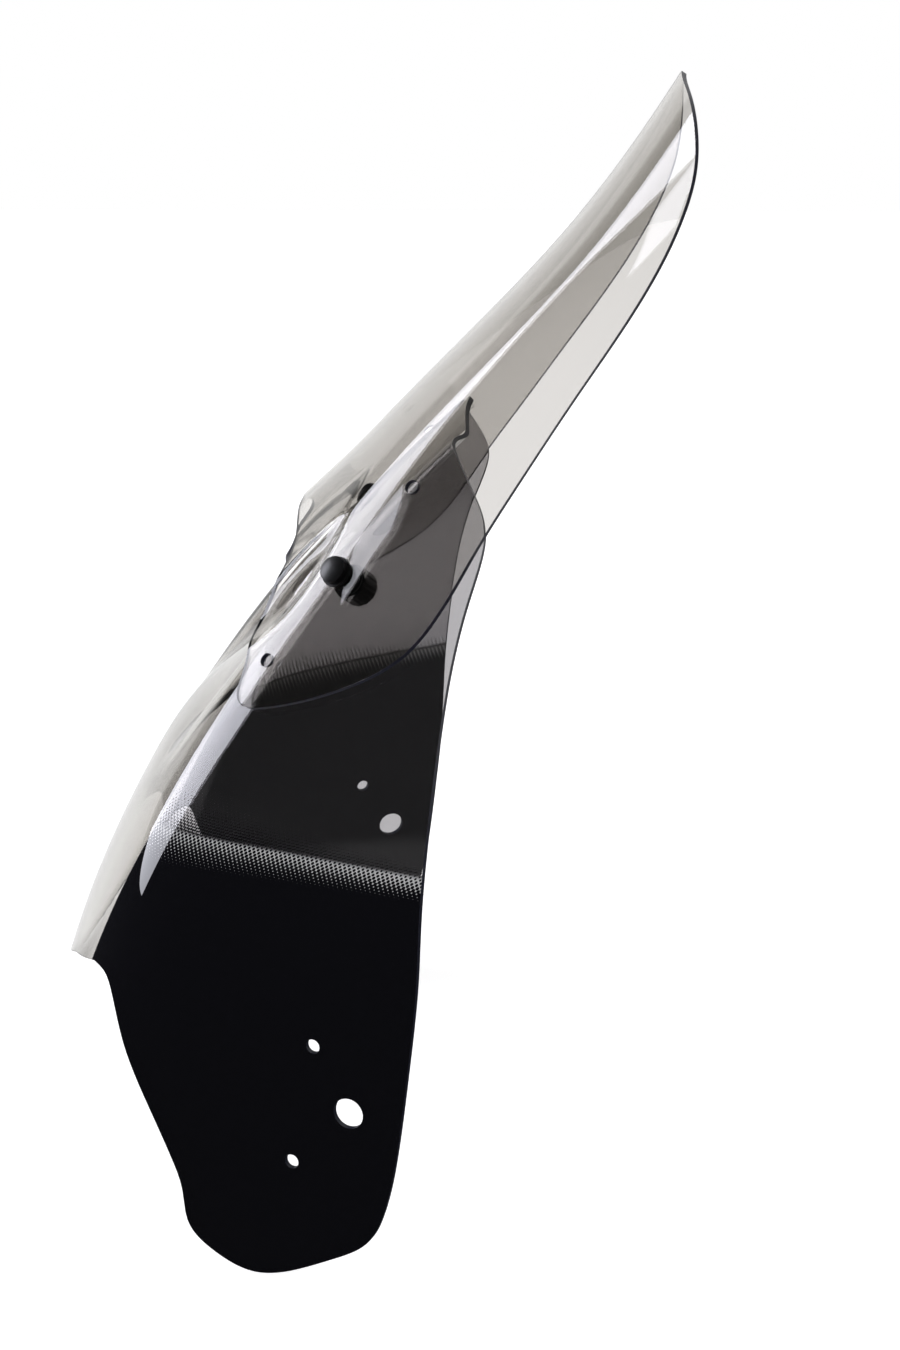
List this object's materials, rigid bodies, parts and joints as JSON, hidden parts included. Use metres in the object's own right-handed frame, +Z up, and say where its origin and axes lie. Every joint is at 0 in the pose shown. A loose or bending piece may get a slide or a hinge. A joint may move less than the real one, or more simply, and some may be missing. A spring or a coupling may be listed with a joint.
{
  "type": "motorcycle windscreen",
  "caption": "Tinted wrap-around motorcycle windscreen with black printed wings and an adjustable spoiler blade held by a screw and hand knob on each side.",
  "frame": {"origin": "midpoint of the line between the two large wing holes", "axes": "+X to the rider's left when mounted (across), +Y to the rear of the motorcycle, +Z up; mirror plane X = 0"},
  "size_m": [0.3906, 0.3432, 0.5913],
  "materials": {
    "tinted_sheet": "clear smoke-tinted acrylic, polished; wings printed gloss black with a dotted fade",
    "rubber": "matt moulded",
    "steel": "zinc plated",
    "black_plastic": "satin moulded",
    "brass": "turned"
  },
  "bodies": {
    "screen": {"base_screen": "tinted_sheet", "spoiler_blade": "tinted_sheet", "left_cap_washer": "rubber", "left_spacer_bush": "rubber", "left_inner_washer": "rubber", "right_cap_washer": "rubber", "right_spacer_bush": "rubber", "right_inner_washer": "rubber"},
    "left_screw_body": {"left_screw": "steel", "left_cover_cap": "black_plastic"},
    "left_washer_body": {"left_steel_washer": "steel"},
    "left_knob_body": {"left_hand_knob": "black_plastic", "left_knob_insert": "brass"},
    "right_screw_body": {"right_screw": "steel", "right_cover_cap": "black_plastic"},
    "right_washer_body": {"right_steel_washer": "steel"},
    "right_knob_body": {"right_hand_knob": "black_plastic", "right_knob_insert": "brass"}
  },
  "joints": [
    {"name": "left_screw_pull", "type": "slide", "parent": "screen", "child": "left_screw_body", "axis": [0.6821, -0.4612, 0.5674], "range_m": [0, 0.026]},
    {"name": "left_washer_slide", "type": "slide", "parent": "screen", "child": "left_washer_body", "axis": [-0.6821, 0.4612, -0.5674], "range_m": [0, 0.0081]},
    {"name": "left_knob_turn", "type": "hinge", "parent": "left_washer_body", "child": "left_knob_body", "pos_m": [0.08316, -0.0047, 0.249], "axis": [-0.6821, 0.4612, -0.5674], "range_deg": [0, 2880]},
    {"name": "right_screw_pull", "type": "slide", "parent": "screen", "child": "right_screw_body", "axis": [-0.6821, -0.4612, 0.5674], "range_m": [0, 0.026]},
    {"name": "right_washer_slide", "type": "slide", "parent": "screen", "child": "right_washer_body", "axis": [0.6821, 0.4612, -0.5674], "range_m": [0, 0.0081]},
    {"name": "right_knob_turn", "type": "hinge", "parent": "right_washer_body", "child": "right_knob_body", "pos_m": [-0.08316, -0.0047, 0.249], "axis": [0.6821, 0.4612, -0.5674], "range_deg": [0, 2880]}
  ],
  "couplings": [
    {"joint": "left_washer_slide", "follows": "left_knob_turn", "m_per_rad": 0.00015915},
    {"joint": "right_washer_slide", "follows": "right_knob_turn", "m_per_rad": 0.00015915}
  ]
}
